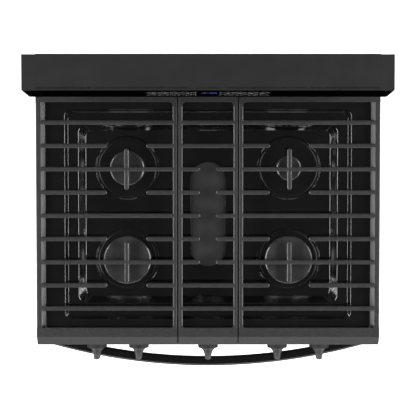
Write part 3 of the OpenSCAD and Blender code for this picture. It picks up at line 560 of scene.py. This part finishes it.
def make_pointer(node, cx, tip, cz):
    """The pale mark near the top of a knob's grip."""
    half_wide, tall, up_at = 0.9, 3, 11
    outline = super_loop(half_wide, half_wide * tall, 2, 24)
    bm = bmesh.new()
    loops = [[point(cx + x, tip + y, cz + up_at + z) for x, z in outline] for y in (0.32, -0.03)]
    loft(bm, loops, low_cap=True, high_cap=True)
    add_piece(node + "_pointer", bm, "igniter_ceramic", node + "_body")


def make_bezels():
    """The dark rings that the knobs stand in, each with a rounded lip."""
    a, b = mm_box("knob_bezels")
    inner, outer = 17.4, 22.5
    front, rear = a.y, b.y
    profile = [(outer, rear), (outer, front + 1.6), (outer - 0.3, front + 0.7), (outer - 0.9, front + 0.15),
               (outer - 1.8, front), (inner + 1.6, front + 0.1), (inner + 0.5, front + 0.5),
               (inner, front + 1.4), (inner, rear)]
    for index, node in enumerate(KNOBS):
        low_k, high_k = mm_box(node)
        cx, cz = (low_k.x + high_k.x) / 2, (low_k.z + high_k.z) / 2
        turns = [2 * math.pi * k / 72 for k in range(72)]
        bm = bmesh.new()
        loft(bm, [[point(cx + r * math.cos(t), y, cz + r * math.sin(t)) for t in turns]
                  for r, y in profile], closed=True)
        add_piece("knob_bezel_%d" % index, bm, "bezel_plastic", "cabinet", ["knob_bezels"], sharp=50)


def make_handle():
    """The bowed handle: a flat-topped bar with a broad rounded front edge."""
    a, b = mm_box("door_handle")
    bow_r = 1340.0
    deep = 20.6
    front_r, back_r = 6.5, 3.0
    low_z, high_z = a.z, b.z
    centre_y = a.y + bow_r
    door = mm_box("door_glass")[0].y - 0.1
    section = (arc(front_r, high_z - front_r, front_r, 180, 90, 8)
               + arc(deep - back_r, high_z - back_r, back_r, 90, 0, 5)
               + arc(deep - back_r, low_z + back_r, back_r, 0, -90, 5)
               + arc(front_r, low_z + front_r, front_r, 270, 180, 8))
    reach = math.asin(b.x / bow_r)
    count = 120
    bm = bmesh.new()
    loops = []
    for k in range(count + 1):
        t = reach * (2 * k / count - 1)
        loop = []
        for depth, z in section:
            r = bow_r - depth
            x = max(a.x, min(b.x, r * math.sin(t)))
            y = min(centre_y - r * math.cos(t), door)
            loop.append(point(x, y, z))
        loops.append(loop)
    loft(bm, loops, low_cap=True, high_cap=True)
    add_piece("door_handle_bow", bm, "handle_metal", "oven_door", ["door_handle"], sharp=50)


KNOBS = sorted(name for name in NODES if name.startswith("knob_") and name != "knob_bezels")
CAPS = sorted(name for name in NODES if name.startswith("cap_"))


# ---------------------------------------------------------------- console face
GLASS_FOOT_Y, CONSOLE_FRONT_Y = 268.1, 279.0
CLOCK_UP = 84


def face_frame():
    """Foot of the console's glass face, its upward direction and its outward normal, in millimetres."""
    a, b = mm_box("control_glass")
    foot = Vector((0, GLASS_FOOT_Y, a.z))
    head = Vector((0, CONSOLE_FRONT_Y, b.z))
    up = (head - foot).normalized()
    return foot, up, Vector((0, -up.z, up.y)), (head - foot).length


def printed(bm, outline, height_up, raised=0.12):
    """A thin printed shape on the glass, from points across and up the face."""
    foot, up, normal, _ = face_frame()
    loops = []
    for lift in (-0.05, raised):
        loops.append([(foot + Vector((x, 0, 0)) + up * (height_up + y) + normal * lift) * MM
                      for x, y in outline])
    loft(bm, loops, low_cap=True, high_cap=True)


def make_console_trim():
    """The folded front edge along the console's top, in a lighter copy of the console paint: a painted
    highlight along the lip.
    """
    a, b = mm_box("console_housing")
    front, top = CONSOLE_FRONT_Y, b.z
    fold_r = 3.0
    outline = arc(front + fold_r, top - fold_r, fold_r, 180, 90, 8)
    outline += [(front + 7, top), (front + 7, top - 0.6), (front + 4.5, top - 3.2), (front + 0.4, top - 4.2)]
    bm = bmesh.new()
    loft(bm, [[point(x, y, z) for y, z in outline] for x in (a.x, b.x)], low_cap=True, high_cap=True)
    dress(add_piece("console_front_fold", bm, "console_paint", "cabinet", sharp=40), MATS["fold_painted_highlight"])


def make_end_panels():
    """Black glass over the sloped front of each console end cap."""
    _, b = mm_box("console_end_caps")
    inner = mm_box("control_glass")[1].x + 0.4
    tall = face_frame()[3]
    bm = bmesh.new()
    for side in (-1, 1):
        across = sorted((side * inner, side * (b.x - 3.5)))
        printed(bm, round_rect(across[0], across[1], 1.5, tall - 4.5, 1.2, 4), 0, 0.4)
    dress(add_piece("console_end_glass", bm, "black_glass", "cabinet"), MATS["console_glass"])


def make_console_marks():
    """Rows of plain ticks with a dot for each key."""
    widths = (5.4, 3.0, 6.8, 4.2, 2.6, 7.4, 3.6, 5.0)
    first_x, last_x = 24.0, 124
    bm = bmesh.new()
    for row, up_at in enumerate((104, 96, 88, 70, 62, 44, 36)):
        for side in (-1, 1):
            x = first_x
            k = row
            while x < last_x:
                wide = widths[k % len(widths)]
                centre = side * (x + wide / 2)
                printed(bm, round_rect(centre - wide / 2, centre + wide / 2, -0.9, 0.9, 0.7, 2), up_at)
                x += wide + (2.2 if k % 3 else 6.5)
                k += 1
    for side in (-1, 1):
        for k in range(4):
            x = side * (42 + 24 * k)
            printed(bm, round_rect(x - 3.4, x + 3.4, -2.9, 2.9, 2.6, 5), 79)
    dress(add_piece("console_touch_marks", bm, "igniter_ceramic", "cabinet"), MATS["print_grey"])


def make_clock():
    """A clock of plain seven-bar digits; each bar is (across, up, width, height) from its digit's middle."""
    bars = {"a": (0, 6, 3.4, 0), "d": (0, -6, 3.4, 0), "g": (0, 0, 3.4, 0), "f": (-2.6, 3, 0, 3.4),
            "b": (2.6, 3, 0, 3.4), "e": (-2.6, -3, 0, 3.4), "c": (2.6, -3, 0, 3.4)}
    bm = bmesh.new()
    for x, lit in ((-15, "bc"), (-7, "abged"), (7, "abcdef"), (15, "abcdef")):
        for key in lit:
            dx, dy, wide, tall = bars[key]
            half_wide, half_tall = wide / 2 + 0.5, tall / 2 + 0.5
            printed(bm, round_rect(x + dx - half_wide, x + dx + half_wide, dy - half_tall, dy + half_tall,
                                   0.45, 2), CLOCK_UP)
    for dy in (-2.6, 2.6):
        printed(bm, round_rect(-0.9, 0.9, dy - 0.9, dy + 0.9, 0.6, 3), CLOCK_UP)
    dress(add_piece("console_clock_digits", bm, "oven_window_glass", "cabinet"), MATS["clock_blue"])


# ---------------------------------------------------------------- build
dress_cad_nodes()
make_cooktop()
for cap in CAPS:
    make_cap(cap)
for knob_node in KNOBS:
    make_knob(knob_node)
make_bezels()
make_handle()
make_console_marks()
make_clock()
make_console_trim()
make_end_panels()
dress(NODES["control_glass"], MATS["console_glass"])

# widths of the rounded edges, in millimetres
SOFT_EDGES = {"grate_left": 0.6, "grate_right": 0.6, "grate_centre": 0.6, "console_housing": 0.8,
              "console_end_caps": 1.2, "manifold_panel": 0.8, "door_panel": 0.8, "door_glass": 0.8,
              "drawer_front": 0.8, "side_panel_left": 0.5, "side_panel_right": 0.5, "rear_panel": 0.4}
for node_name, edge in SOFT_EDGES.items():
    soften(NODES[node_name], edge * MM)
